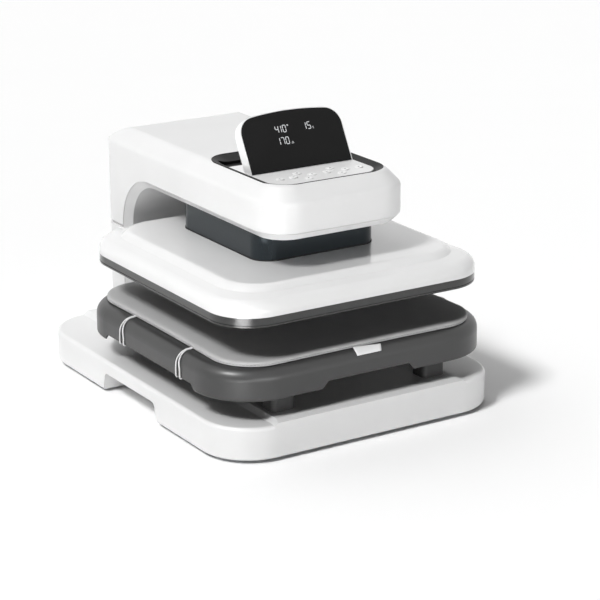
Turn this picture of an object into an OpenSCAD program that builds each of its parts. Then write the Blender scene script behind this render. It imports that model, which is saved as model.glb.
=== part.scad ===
// Automatic heat press: a raised platen on a C-shaped arm above a pull-out tray with a pressing pad.
// X points right, Y points back and Z points up. The origin lies on the floor under the middle of the base.

/* [Base] */
// Width of the base cover
base_w = 427; // [425:1:450]
// Depth of the base cover
base_d = 525; // [523:1:550]
// Plan radius of the base corners
base_corner_r = 68; // [50:1:85]
// Height of the base cover
base_h = 44; // [40:1:60]
// Height of the rubber feet below the base cover
foot_h = 4; // [3:0.5:8]
// Rounding of the base's upper edge
base_edge_r = 5; // [2:0.5:8]
// Width of the raised platform at its foot
platform_w = 296; // [290:1:330]
// Height of the raised platform
platform_h = 5; // [3:0.5:10]
// Sideways run of the platform's ramps
ramp_run = 8; // [4:1:14]
// Length of the hand-hold notches along the base's sides
hold_l = 140; // [110:1:160]
// Height of the hand-hold notches above the floor
hold_z = 30; // [26:1:34]
// Depth of the hand-hold notches
hold_depth = 36; // [30:1:45]
// Wall of the moulded covers
wall = 3; // [2.5:0.1:3.5]

/* [Tray and pad] */
// Width of the tray
tray_w = 423; // [415:1:423]
// Depth of the tray
tray_d = 405; // [395:1:407]
// Plan radius of the tray corners
tray_r = 79; // [65:1:90]
// Height of the tray shell
tray_h = 42.2; // [36:0.1:50]
// Clear height under the tray
leg_h = 24.3; // [20:0.1:35]
// Rounding of the tray's upper edge
tray_edge_r = 16; // [10:1:20]
// Centre of the tray in front of the base's middle
tray_front = 50.5; // [48:0.5:55]
// Length of the grip notch in the tray's front
front_grip_l = 124; // [90:1:150]
// Height of the grip notch in the tray's front
front_grip_h = 10.7; // [7:0.1:14]
// Length of the grip notches in the tray's sides
side_grip_l = 226; // [180:1:240]
// Height of the grip notches in the tray's sides
side_grip_h = 8.7; // [6:0.1:12]
// Side of the square pad
pad_w = 384; // [376:1:386]
// Plan radius of the pad corners
pad_r = 58; // [50:1:66]
// Thickness of the pad at its edge
pad_t = 7; // [5:0.5:9]
// Rise of the pad's crown
pad_crown = 1.2; // [0.5:0.1:3]
// Thickness of the elastic cord that holds the pad
elastic_d = 2; // [1.4:0.1:2.4]
// Width of the sewn tag
tag_w = 38; // [25:1:50]

/* [Platen] */
// Width of the platen
platen_w = 396; // [394:1:402]
// Depth of the platen
platen_d = 396.5; // [394:0.5:402]
// Plan radius of the platen corners
platen_r = 58; // [50:1:70]
// Centre of the platen in front of the base's middle
platen_front = 49.5; // [46:0.5:54]
// Side of the square heat plate
heat_plate_w = 381; // [376:1:382]
// Thickness of the heat plate
heat_plate_t = 10; // [8:0.5:12]
// Height of the platen's dark rim
rim_h = 13; // [10:0.5:15]
// Height of the white cover above the rim
cover_h = 32; // [29:0.5:36]
// Inset of the cover's raised plateau
plateau_inset = 36; // [34:1:46]
// Plan radius of the plateau's corners
plateau_r = 45; // [30:1:55]
// Stroke of the platen
travel = 44; // [40:1:48]

/* [Neck and lift] */
// Width of the neck
neck_w = 183.6; // [178:0.2:184.4]
// Depth of the neck
neck_d = 213; // [205:1:220]
// Plan radius of the neck corners
neck_r = 26; // [18:1:34]
// Centre of the neck in front of the base's middle
neck_front = 32.2; // [30:0.2:34]
// Height of the neck that shows when the press is open
neck_show = 39.5; // [36:0.5:46]
// Radius of the lead screw
screw_r = 6; // [5:0.5:7]
// Radius of the guide posts
post_r = 6; // [5:0.5:7]
// Module of the drive gears
gear_module = 2; // [1.8:0.1:2]
// Teeth of the screw gear
gear_teeth = 28; // [28:2:32]
// Teeth of the motor pinion
pinion_teeth = 14; // [14:1:16]

/* [Column and arm] */
// Width of the arm and column
arm_w = 218; // [217:1:236]
// Reach of the head in front of the base's middle
arm_front = 194; // [188:1:205]
// Depth of the column's side wall
column_depth = 56.5; // [54:0.5:70]
// Radius of the arch between column and arm
arch_r = 75; // [55:1:85]
// Thickness and chamfer of the underside liner
liner_t = 10.5; // [8:0.5:12]
// Plan radius of the head's front corners
head_r = 46; // [40:1:55]
// Bevel along the top of the arm
bevel = 20; // [17:0.5:20]
// Rounding of the bevel's creases
crease_r = 10; // [5:0.5:14]
// Rounding of the arm's top at the back
back_r = 55; // [35:1:65]
// Plan radius of the column's back corners
column_r = 25; // [12:1:35]
// Height of the column's seam above the platen's plateau when the press is open
seam_drop = 30; // [24:1:40]
// Width of the seam's groove
seam_gap = 4; // [2:0.5:6]

/* [Controls] */
// Width of the recess in the head
recess_w = 180; // [176:1:180]
// Front of the recess in front of the base's middle
recess_front = 173.5; // [170:0.5:174]
// Back of the recess behind the base's middle
recess_back = 12; // [8:1:20]
// Plan radius of the recess corners
recess_r = 34; // [28:1:40]
// Run of the recess's sloped walls down to the panel
slope_run = 10.3; // [9:0.1:11]
// Drop of the recess's sloped walls down to the panel
slope_drop = 4.1; // [3:0.1:5]
// Thickness of the key panel
panel_t = 2.5; // [2:0.1:3]
// Radius of the keys
key_r = 5.5; // [4:0.1:6]
// Stroke of the keys
key_stroke = 0.8; // [0.4:0.1:1]
// Width of the display
display_w = 156.5; // [140:0.5:157]
// Height of the display along its glass
display_h = 80.5; // [70:0.5:84]
// Thickness of the display
display_t = 15.8; // [14:0.1:18]
// Lean of the raised display from upright
display_tilt = 29; // [22:0.5:34]
// Corner radius of the display
display_r = 24.5; // [14:0.5:28]
// Radius of the display's arched top
display_arch = 430; // [300:10:600]

/* [Hidden] */
$fn = 96;
small = 0.01;
// Clearances: between pieces that lie together, round running fits and pushed-in pieces
gap = 0.3;
run_fit = 0.05;
push_fit = 0.02;

base_z0 = foot_h;
base_z1 = base_z0 + base_h;
platform_z = base_z1 + platform_h;
plate_t = 2;
tray_z = platform_z + leg_h;
tray_top = tray_z + tray_h;
tray_y = -tray_front;
pad_z = tray_top + gap;
pad_d = pad_w;
pad_top = pad_z + pad_t + pad_crown;
press_gap = 0.5;
platen_z = pad_top + press_gap + travel;
platen_y = -platen_front;
plate_proud = 0.5;
rim_z0 = platen_z + plate_proud;
rim_z1 = rim_z0 + rim_h;
heat_z1 = platen_z + heat_plate_t;
heat_r = platen_r - (platen_w - heat_plate_w) / 2;
plateau_z = rim_z1 + cover_h;
gasket_t = 1.5;
neck_y = -neck_front;
arm_under = plateau_z + neck_show;
part_z = arm_under + liner_t;
column_inset = 2.5;
column_back = base_d / 2 - column_inset;
part_y = column_back - column_depth;
arch_y = part_y - arch_r;
arch_z = part_z - arch_r;
neck_overlap = 7;
neck_top = arm_under + travel + neck_overlap;
frame_z0 = neck_top + 1;
frame_t = 5;
frame_z1 = frame_z0 + frame_t;
panel_stand = 8;
panel_z1 = frame_z1 + panel_stand;
panel_z0 = panel_z1 - panel_t;
arm_top = panel_z1 + slope_drop;
crease_z = arm_top - bevel;
seam_z = plateau_z - seam_drop;

// Lift gear inside the neck
screw_y = neck_y;
frame_w = arm_w - 25;
flange_t = 2.5;
flange_h = 36;
frame_front = -neck_front - neck_d / 2 + 4;
upright_w = 30;
upright_x = arm_w / 2 - wall - upright_w / 2 - 11;
inner_back_r = back_r - wall;
frame_rise = frame_z1 - arm_top + back_r;
frame_back = column_back - back_r + sqrt(pow(inner_back_r, 2) - pow(frame_rise, 2)) - 1;
upright_y = frame_back - upright_w / 2;
bridge_z0 = rim_z1 + 20;
bridge_t = 4;
bridge_z1 = bridge_z0 + 43;
bridge_w = 90;
bridge_d = 32;
nut_flange_t = 4;
nut_h = 20;
gear_h = 10;
gear_z = frame_z0 - 13.5;
gear_gap = gear_module * (gear_teeth + pinion_teeth) / 2;
motor_y = screw_y - gear_gap;
pressure_angle = 25;
tooth_play = 0.6;
bracket_t = 3;
bracket_z0 = gear_z - 3 - bracket_t;
bracket_w = gear_module * (gear_teeth + 2) + 12;
gearbox_r = 22;
gearbox_h = 21;
motor_r = 18;
motor_h = 36;
shaft_r = 4;
post_x = 68;
sleeve_r = post_r + 5;
sleeve_z0 = plateau_z + 22;
screw_z0 = bridge_z1 + nut_flange_t - travel - 6;

// Platen internals
element_d = 8;
element_x = [-150, -90, -30, 30, 90, 150];
element_y = 130;
element_z = heat_z1;
insulation_z = element_z + element_d / 2 + gap;
insulation_t = 8;
stud_r = 4;
stud_x = 120;
stud_y = 105;
carrier_t = 4;
carrier_z = bridge_z0 - carrier_t;

// Recess, panel and display
recess_y = (recess_back - recess_front) / 2;
recess_d = recess_front + recess_back;
panel_w = recess_w - 2 * slope_run - 2 * gap;
panel_front = -recess_front + slope_run + 2.3;
panel_back = panel_front + 120.9;
panel_r = recess_r - slope_run + 3;
panel_ledge = 3;
slot_back = recess_back - slope_run * 1.7;
slot_w = panel_w - 6;
display_y = panel_front + 65.4;
display_z = panel_z1 + gap;
display_lip = 1.1;
glass_t = 2;
hinge_r = 4;
hinge_z = display_z + hinge_r;
hinge_y = display_y + (display_t - hinge_r + hinge_r * sin(display_tilt)) / cos(display_tilt);
hinge_pin_r = 1.5;
ear_x = 43;
ear_w = 8;
ear_room = 6.5;
key_row = panel_front + 30;
key_cross = 14.2;
cross_x = [-22.8, 28.2];
key_at = concat(
  [[-57.5, key_row]],
  [
    for (x = cross_x)
      each [
        [x - key_cross, key_row], [x, key_row + key_cross],
        [x, key_row - key_cross], [x + key_cross, key_row]
      ]
  ],
  [[63.8, key_row]]
);
key_stand = 1;
key_flange_t = 0.6;
board_t = 1.6;
key_board_z = panel_z0 - 5.2;

// Rear connections
inlet_x = 42;
switch_x = -42;
rear_z = platform_z + 38;
inlet_w = 27.5;
inlet_h = 20;
inlet_depth = 24;
switch_w = 21;
switch_h = 15;
switch_depth = 20;

white = [0.92, 0.92, 0.92];
steel = [0.62, 0.64, 0.66];
black = [0.1, 0.1, 0.1];
charcoal = [0.27, 0.27, 0.27];
slate = [0.28, 0.33, 0.36];
brass = [0.78, 0.6, 0.3];
board_green = [0.1, 0.32, 0.18];

// Plan outlines and slabs with shaped edges

module plan(w, d, r) {
  square([w - 2 * r, d], center = true);
  square([w, d - 2 * r], center = true);
  for (x = [-1, 1], y = [-1, 1])
    translate([x * (w / 2 - r), y * (d / 2 - r)])
      circle(r);
}

module block(w, d, r, z0, z1) {
  translate([0, 0, z0])
    linear_extrude(z1 - z0)
      plan(w, d, r);
}

// Rounded slab whose edge follows the profile given as a child, drawn from a corner's axis outwards
module slab(w, d, r, z0, z1) {
  for (x = [0, 1], y = [0, 1])
    mirror([x, 0, 0])
      mirror([0, y, 0])
        translate([w / 2 - r, d / 2 - r, 0])
          rotate_extrude(angle = 90)
            children();
  for (x = [0, 1])
    mirror([x, 0, 0])
      translate([w / 2 - r, d / 2 - r, 0])
        rotate([90, 0, 0])
          linear_extrude(d - 2 * r)
            children();
  for (y = [0, 1])
    mirror([0, y, 0])
      translate([r - w / 2, d / 2 - r, 0])
        rotate([90, 0, 90])
          linear_extrude(w - 2 * r)
            children();
  translate([r - w / 2, r - d / 2, z0])
    cube([w - 2 * r, d - 2 * r, z1 - z0]);
}

// Edge profile with a rounded upper and lower corner
module round_edge(r, z0, z1, top, low) {
  translate([0, z0 + low])
    square([r, z1 - z0 - top - low]);
  translate([0, z1 - top])
    square([r - top, top]);
  translate([r - top, z1 - top])
    circle(top);
  translate([0, z0])
    square([r - low, low]);
  translate([r - low, z0 + low])
    circle(low);
}

// Extrusion of an outline in the YZ plane, centred on the middle of the press
module along_x(w) {
  translate([-w / 2, 0, 0])
    rotate([90, 0, 90])
      linear_extrude(w)
        children();
}

module both_sides() {
  for (x = [0, 1])
    mirror([x, 0, 0])
      children();
}

// Base

module hold_outline(grow) {
  r = 8 + grow;
  half = hold_l / 2 + grow;
  draft = 6;
  top = hold_z + grow;
  polygon([[-half - draft, -1], [half + draft, -1], [half, top - r], [-half, top - r]]);
  translate([r - half, 0])
    square([2 * (half - r), top]);
  for (y = [-1, 1])
    translate([y * (half - r), top - r])
      circle(r);
}

module holds(grow) {
  both_sides()
    translate([base_w / 2 - hold_depth - grow, 0, 0])
      rotate([90, 0, 90])
        linear_extrude(hold_depth + grow + 1)
          hold_outline(grow);
}

module platform() {
  lower = base_z1 - base_edge_r;
  half = platform_w / 2;
  intersection() {
    translate([0, base_d / 2, 0])
      rotate([90, 0, 0])
        linear_extrude(base_d)
          polygon([
            [-half, lower], [half, lower], [half, base_z1],
            [half - ramp_run, platform_z], [ramp_run - half, platform_z], [-half, base_z1]
          ]);
    along_x(platform_w)
      polygon([
        [-base_d / 2, lower], [column_back, lower], [column_back, platform_z],
        [10 - base_d / 2, platform_z], [-base_d / 2, platform_z - 2]
      ]);
  }
}

boss_at = [
  [-150, -225], [150, -225], [-150, 130], [150, 130], [-60, -240], [60, -240]
];

module base_cover() {
  low_r = 4;
  in_r = base_corner_r - wall;
  roof = base_z1 - wall;
  floor_z = base_z0 + plate_t;
  color(white)
    difference() {
      union() {
        difference() {
          union() {
            slab(base_w, base_d, base_corner_r, base_z0, base_z1)
              round_edge(base_corner_r, base_z0, base_z1, base_edge_r, low_r);
            platform();
          }
          difference() {
            block(base_w - 2 * wall, base_d - 2 * wall, in_r, base_z0 - 1, roof);
            holds(wall);
          }
        }
        for (p = boss_at)
          translate([p[0], p[1], floor_z])
            cylinder(r = 6, h = roof + 1 - floor_z);
      }
      holds(0);
      for (p = boss_at)
        translate([p[0], p[1], 0])
          cylinder(r = 1.8, h = floor_z + 16);
      translate([-upright_x - upright_w / 2 - 1, upright_y - upright_w / 2 - 1, roof - 1])
        cube([2 * upright_x + upright_w + 2, upright_w + 2, wall + platform_h + 2]);
    }
}

module base_plate() {
  inset = wall + gap;
  color(steel)
    difference() {
      block(base_w - 2 * inset, base_d - 2 * inset, base_corner_r - inset, base_z0, base_z0 + plate_t);
      holds(inset);
      for (p = boss_at)
        translate([p[0], p[1], 0])
          cylinder(r = 2.2, h = base_z1);
      for (p = bolt_at)
        translate([p[0], p[1], 0])
          cylinder(r = 4.2, h = base_z1);
    }
}

foot_at = [[-165, -215], [165, -215], [-165, 215], [165, 215]];

module rubber_feet() {
  foot_r = 14;
  color(black)
    for (p = foot_at)
      translate([p[0], p[1], 0])
        rotate_extrude()
          difference() {
            square([foot_r, foot_h]);
            polygon([[foot_r - 1.5, 0], [foot_r + 1, 0], [foot_r + 1, foot_h], [foot_r, foot_h]]);
          }
}

module base_screws() {
  head_t = 1.6;
  color(steel)
    for (p = boss_at)
      translate([p[0], p[1], base_z0 - head_t]) {
        cylinder(r = 3.4, h = head_t);
        cylinder(r = 1.7, h = head_t + plate_t + 12);
      }
}

// Steel frame

bolt_at = [
  [-upright_x, upright_y - upright_w / 2 - 9], [upright_x, upright_y - upright_w / 2 - 9],
  [-30, upright_y], [30, upright_y]
];
sole_t = 4;

module column_frame() {
  sole_z = base_z0 + plate_t;
  tube_wall = 3;
  color(steel)
    difference() {
      union() {
        translate([-upright_x - 18, upright_y - upright_w / 2 - 18, sole_z])
          cube([2 * upright_x + 36, upright_w + 20, sole_t]);
        both_sides()
          translate([upright_x - upright_w / 2, upright_y - upright_w / 2, sole_z])
            cube([upright_w, upright_w, frame_z0 - sole_z]);
      }
      both_sides()
        translate([upright_x - upright_w / 2 + tube_wall, upright_y - upright_w / 2 + tube_wall, sole_z - 1])
          cube([upright_w - 2 * tube_wall, upright_w - 2 * tube_wall, frame_z0 - sole_z + 2]);
      for (p = bolt_at)
        translate([p[0], p[1], 0])
          cylinder(r = 4.2, h = base_z1);
    }
}

module frame_bolts() {
  color(steel)
    for (p = bolt_at)
      translate([p[0], p[1], base_z0]) {
        cylinder(r = 4, h = plate_t + sole_t + 6);
        translate([0, 0, plate_t + sole_t])
          cylinder(r = 7.5, h = 6, $fn = 6);
      }
}

module arm_frame() {
  color(steel)
    difference() {
      union() {
        translate([-frame_w / 2, frame_front, frame_z0])
          cube([frame_w, frame_back - frame_front, frame_t]);
        both_sides()
          translate([frame_w / 2 - flange_t, frame_front, frame_z0 - flange_h])
            cube([flange_t, part_y - 30 - frame_front, flange_h]);
      }
      translate([0, screw_y, frame_z0 - 1])
        cylinder(r = bearing_r + push_fit, h = frame_t + 2);
      for (x = [-1, 1], y = [motor_y - 20, screw_y + 45])
        translate([x * 45, y, frame_z0 - 1])
          cylinder(r = 2.2, h = frame_t + 2);
    }
}

// Column and arm covers

// Region under the arm, in the YZ plane, stepped back by an offset
module throat(step) {
  low = -10;
  front = -arm_front - 10;
  translate([front, low])
    square([arch_y - front, part_z - step - low]);
  translate([front, low])
    square([part_y - step - front, arch_z - low]);
  translate([arch_y, arch_z])
    circle(arch_r - step);
}

// Bevelled edge of the arm's top, stepped in by an offset
module bevel_edge(z0, step) {
  half_turn = tan(22.5);
  r = head_r - step;
  low = crease_z - half_turn * step;
  top = arm_top - step;
  inner = head_r - bevel - half_turn * step;
  round_r = crease_r - step;
  t = half_turn * round_r;
  s = t * sin(45);
  polygon([[0, z0], [r, z0], [r, low - t], [r - s, low + s], [inner + s, top - s], [inner - t, top], [0, top]]);
  translate([r - round_r, low - t])
    circle(round_r);
  translate([inner - t, top - round_r])
    circle(round_r);
}

module arm_block(z0, step) {
  half = arm_w / 2 - head_r;
  front = head_r - arm_front;
  back = column_back - step;
  top = arm_top - step;
  round_r = back_r - step;
  plan_r = column_r - step;
  both_sides()
    translate([half, front, 0])
      rotate([0, 0, -90])
        rotate_extrude(angle = 90)
          bevel_edge(z0, step);
  translate([half, front, 0])
    rotate([90, 0, -90])
      linear_extrude(2 * half)
        bevel_edge(z0, step);
  intersection() {
    union() {
      both_sides()
        translate([half, back, 0])
          rotate([90, 0, 0])
            linear_extrude(back - front)
              bevel_edge(z0, step);
      translate([-half, front, z0])
        cube([2 * half, back - front, top - z0]);
    }
    along_x(arm_w) {
      translate([front, z0])
        square([back - front, top - round_r - z0]);
      translate([front, z0])
        square([back - round_r - front, top - z0]);
      translate([back - round_r, top - round_r])
        circle(round_r);
    }
    translate([0, 0, z0])
      linear_extrude(top - z0)
        column_plan(front, step);
  }
}

// Column outline with rounded back corners, open to the front
module column_plan(front, step) {
  half = arm_w / 2 - step;
  back = column_back - step;
  r = column_r - step;
  translate([-half, front])
    square([2 * half, back - r - front]);
  translate([r - half, front])
    square([2 * (half - r), back - front]);
  both_sides()
    translate([half - r, back - r])
      circle(r);
}

module arm_cover() {
  lower = seam_z + seam_gap / 2;
  color(white)
    difference() {
      arm_block(lower, 0);
      arm_block(lower - 1, wall);
      along_x(arm_w + 2)
        throat(0);
      translate([0, recess_y, 0])
        block(recess_w, recess_d, recess_r, part_z, arm_top + 1);
    }
}

module column_cover() {
  upper = seam_z - seam_gap / 2;
  tongue = 6;
  color(white)
    difference() {
      union() {
        translate([0, 0, platform_z])
          linear_extrude(upper - platform_z)
            column_plan(part_y, 0);
        translate([0, 0, platform_z])
          linear_extrude(upper + tongue - platform_z)
            column_plan(part_y, wall + gap);
      }
      translate([0, 0, platform_z - 1])
        linear_extrude(upper + tongue + 2 - platform_z)
          column_plan(part_y - 1, 2 * wall);
      translate([inlet_x, column_back, rear_z])
        rotate([90, 0, 0])
          linear_extrude(4 * wall, center = true)
            square([inlet_w + gap, inlet_h + gap], center = true);
      translate([switch_x, column_back, rear_z])
        rotate([90, 0, 0])
          linear_extrude(4 * wall, center = true)
            square([switch_w + gap, switch_h + gap], center = true);
    }
}

// Edge of the liner below its parting face, as inset and depth: a shadow groove and a chamfer
line_h = 0.8;
line_in = 1.6;
liner_edge = [[line_in, 0], [line_in, line_h], [line_h, line_h], [liner_t, liner_t]];

// Section of the liner across the arm, from its parting face inwards
module liner_section() {
  half = arm_w / 2;
  last = len(liner_edge) - 1;
  polygon(concat(
    [for (p = liner_edge) [p[0] - half, p[1]]],
    [for (i = [last : -1 : 0]) [half - liner_edge[i][0], liner_edge[i][1]]]
  ));
}

module liner_solid() {
  half = arm_w / 2 - head_r;
  front = head_r - arm_front;
  translate([0, front, part_z])
    rotate([-90, 0, 0])
      linear_extrude(arch_y - front)
        liner_section();
  along_x(2 * half)
    polygon(concat(
      [[front, part_z]],
      [for (p = liner_edge) [p[0] - arm_front, part_z - p[1]]],
      [[front, arm_under]]
    ));
  both_sides()
    translate([half, front, part_z])
      rotate([0, 0, -90])
        rotate_extrude(angle = 90)
          polygon(concat(
            [[0, 0]],
            [for (p = liner_edge) [head_r - p[0], -p[1]]],
            [[0, -liner_t]]
          ));
  translate([0, arch_y, arch_z])
    rotate([0, 90, 0])
      rotate([0, 0, 90])
        rotate_extrude(angle = 90)
          translate([arch_r, 0])
            rotate(90)
              liner_section();
  translate([0, part_y, platform_z])
    linear_extrude(arch_z - platform_z)
      mirror([0, 1])
        liner_section();
}

module arm_liner() {
  skin = liner_t - wall;
  hollow_in = liner_t + wall;
  hollow_front = hollow_in - arm_front;
  hollow_l = arm_front + 2 * column_back;
  color(white)
    difference() {
      liner_solid();
      intersection() {
        along_x(arm_w - 2 * liner_t - 2 * wall)
          difference() {
            throat(-1);
            throat(skin);
          }
        translate([0, hollow_front + hollow_l / 2, 0])
          block(arm_w - 2 * hollow_in, hollow_l, head_r - hollow_in, platform_z - 1, arm_top);
      }
      translate([0, neck_y, 0])
        block(neck_w + 2.4, neck_d + 2.4, neck_r + 1.2, arm_under - 1, part_z + 1);
    }
}

// Rear inlet and switch

module power_inlet() {
  cavity_w = inlet_w - 3;
  cavity_h = inlet_h - 3.6;
  cavity_depth = 17;
  pin_l = 12;
  color(black)
    translate([inlet_x, column_back, rear_z])
      rotate([90, 0, 0]) {
        difference() {
          translate([0, 0, 1])
            linear_extrude(inlet_depth)
              square([inlet_w, inlet_h], center = true);
          linear_extrude(cavity_depth + 1)
            square([cavity_w, cavity_h], center = true);
        }
        for (p = [[-7, -2], [0, 2], [7, -2]])
          translate([p[0], p[1], cavity_depth + 1 - pin_l])
            linear_extrude(pin_l + 1)
              square([2, 4], center = true);
      }
}

module switch_housing() {
  color(black)
    translate([switch_x, column_back, rear_z])
      rotate([90, 0, 0])
        difference() {
          translate([0, 0, 1])
            linear_extrude(switch_depth)
              square([switch_w, switch_h], center = true);
          linear_extrude(10)
            square([switch_w - 3, switch_h - 3], center = true);
          translate([0, 0, 5])
            rotate([0, 90, 0])
              cylinder(r = 1.2 + run_fit, h = switch_w - 1, center = true);
        }
}

module switch_rocker() {
  w = switch_w - 3 - 2 * gap;
  color(black)
    translate([switch_x, column_back - 5, rear_z])
      rotate([0, 90, 0]) {
        translate([0, 0, -w / 2])
          linear_extrude(w)
            intersection() {
              circle(5.4);
              polygon([[-6, 6], [6, 6], [6, -2.5], [-6, -2.5]]);
              polygon([[-5, -6], [-5, 3.4], [0, 2.2], [5, 3.4], [5, -6]]);
            }
        cylinder(r = 1.2, h = switch_w - 1.4, center = true);
      }
}

// Boards

module board(w, d, z) {
  translate([-w / 2, -d / 2, z])
    cube([w, d, board_t]);
}

power_board_at = [0, 40];
power_board_w = 120;
power_board_d = 150;
power_board_z = base_z0 + plate_t + 6;

module power_board() {
  top = power_board_z + board_t;
  color(board_green)
    translate([power_board_at[0], power_board_at[1], 0]) {
      board(power_board_w, power_board_d, power_board_z);
      for (x = [-1, 1], y = [-1, 1])
        translate([x * (power_board_w / 2 - 6), y * (power_board_d / 2 - 6), base_z0 + plate_t])
          cylinder(r = 3, h = 6);
      translate([-45, -60, top - small])
        cube([40, 34, 18]);
      translate([10, -58, top - small])
        cube([28, 20, 14]);
      for (x = [-35, -10, 15])
        translate([x, 20, top - small])
          cylinder(r = 7, h = 16);
      translate([-40, 50, top - small])
        cube([80, 12, 10]);
    }
}

control_board_z = frame_z1 + 3;

module control_board() {
  w = 110;
  d = 120;
  top = control_board_z + board_t;
  color(board_green)
    translate([0, recess_back + 22 + d / 2, 0]) {
      board(w, d, control_board_z);
      for (x = [-1, 1], y = [-1, 1])
        translate([x * (w / 2 - 6), y * (d / 2 - 6), frame_z1])
          cylinder(r = 3, h = 3);
      translate([-12, -20, top - small])
        cube([24, 24, 1.6]);
      for (x = [-40, 20])
        translate([x, 28, top - small])
          cube([20, 8, 3]);
    }
}

// Recess and keys

// Sloped pocket of the recess, wide at the arm's top
module recess_cone() {
  depth = slope_drop * 1.7;
  run = slope_run * 1.7;
  slab(recess_w, recess_d, recess_r, arm_top - depth, arm_top + 1)
    polygon([
      [0, arm_top - depth], [recess_r - run, arm_top - depth], [recess_r, arm_top],
      [recess_r, arm_top + 1], [0, arm_top + 1]
    ]);
}

module recess_bezel() {
  panel_l = panel_back - panel_front;
  square_l = panel_l - panel_r;
  color(black)
    difference() {
      translate([0, recess_y, 0])
        block(recess_w - gap, recess_d - gap, recess_r - gap / 2, frame_z1, arm_top - gap);
      translate([0, recess_y, 0])
        recess_cone();
      translate([0, panel_front + panel_l / 2, 0])
        block(panel_w + gap, panel_l + gap, panel_r + gap / 2, panel_z0, arm_top);
      translate([-(panel_w + gap) / 2, panel_back - square_l, panel_z0])
        cube([panel_w + gap, square_l + gap / 2, arm_top]);
      translate([0, panel_front + panel_l / 2, 0])
        block(panel_w - 2 * panel_ledge, panel_l - 2 * panel_ledge, panel_r - panel_ledge, frame_z1 - 1, arm_top);
      translate([-slot_w / 2, panel_back - panel_ledge - 1, frame_z1 + 1.5])
        cube([slot_w, slot_back - panel_back + panel_ledge + 1, arm_top]);
    }
}

module key_panel() {
  panel_l = panel_back - panel_front;
  square_l = panel_l - panel_r;
  color(white)
    difference() {
      union() {
        translate([0, panel_front + panel_l / 2, 0])
          block(panel_w, panel_l, panel_r, panel_z0, panel_z1);
        translate([-panel_w / 2, panel_back - square_l, panel_z0])
          cube([panel_w, square_l, panel_t]);
        both_sides()
          translate([ear_x, hinge_y, hinge_z])
            rotate([0, 90, 0])
              linear_extrude(ear_w, center = true) {
                circle(hinge_r - 0.6);
                translate([0, 0.6 - hinge_r])
                  square([hinge_z - panel_z0, 2 * hinge_r - 1.2]);
              }
        for (x = [-1, 1], y = [panel_front + 14, key_board_back - 6])
          translate([x * 56, y, key_board_z + board_t])
            cylinder(r = 3, h = panel_z0 - key_board_z - board_t + small);
      }
      both_sides()
        translate([ear_x, hinge_y, hinge_z])
          rotate([0, 90, 0])
            cylinder(r = hinge_pin_r + run_fit, h = ear_w + 2, center = true);
      for (p = key_at)
        translate([p[0], p[1], panel_z0 - 1])
          cylinder(r = key_r + gap, h = panel_t + 2);
    }
}

key_board_back = key_row + 25;

module key_board() {
  margin = panel_ledge + 3;
  front = panel_front + margin;
  color(board_green) {
    translate([0, (front + key_board_back) / 2, 0])
      block(panel_w - 2 * margin, key_board_back - front, panel_r - margin, key_board_z, key_board_z + board_t);
    for (p = key_at)
      translate([p[0] - 3, p[1] - 3, key_board_z + board_t - small])
        cube([6, 6, panel_z0 - key_flange_t - gap - key_stroke - key_board_z - board_t]);
  }
}

module key(n) {
  top = panel_t + gap / 2 + key_stand;
  color(white)
    translate([key_at[n][0], key_at[n][1], panel_z0 - gap / 2])
      rotate_extrude() {
        translate([0, -key_flange_t])
          square([key_r + 0.9, key_flange_t]);
        polygon([
          [0, -small], [key_r, -small], [key_r, top - 0.5], [key_r - 0.15, top - 0.15],
          [key_r - 0.5, top], [key_r - 1.2, top], [0, top - 0.25]
        ]);
      }
}

module key_1() { key(0); }
module key_2() { key(1); }
module key_3() { key(2); }
module key_4() { key(3); }
module key_5() { key(4); }
module key_6() { key(5); }
module key_7() { key(6); }
module key_8() { key(7); }
module key_9() { key(8); }
module key_10() { key(9); }

// Display

module on_display() {
  translate([0, display_y, display_z])
    rotate([90 - display_tilt, 0, 0])
      children();
}

// Display outline stepped in by an offset: straight sides, round corners and an arched top
corner_steps = 12;
arch_steps = 20;

function arc(centre, r, from, to, steps, skip) = [
  for (i = [skip : steps - skip])
    let (a = from + (to - from) * i / steps)
      centre + r * [cos(a), sin(a)]
];

module display_outline(step) {
  half = display_w / 2 - step;
  top = display_h - step;
  r = display_r - step;
  big_r = display_arch - step;
  corner_x = half - r;
  corner_y = top - big_r + sqrt(pow(big_r - r, 2) - pow(corner_x, 2));
  lean = asin(corner_x / (big_r - r));
  polygon(concat(
    [[half, 0]],
    arc([corner_x, corner_y], r, 0, 90 - lean, corner_steps, 0),
    arc([0, top - big_r], big_r, 90 - lean, 90 + lean, arch_steps, 1),
    arc([-corner_x, corner_y], r, 90 + lean, 180, corner_steps, 0),
    [[-half, 0]]
  ));
}

module display_solid(step, n0, n1) {
  on_display()
    translate([0, 0, n0])
      linear_extrude(n1 - n0)
        display_outline(step);
}

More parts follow.
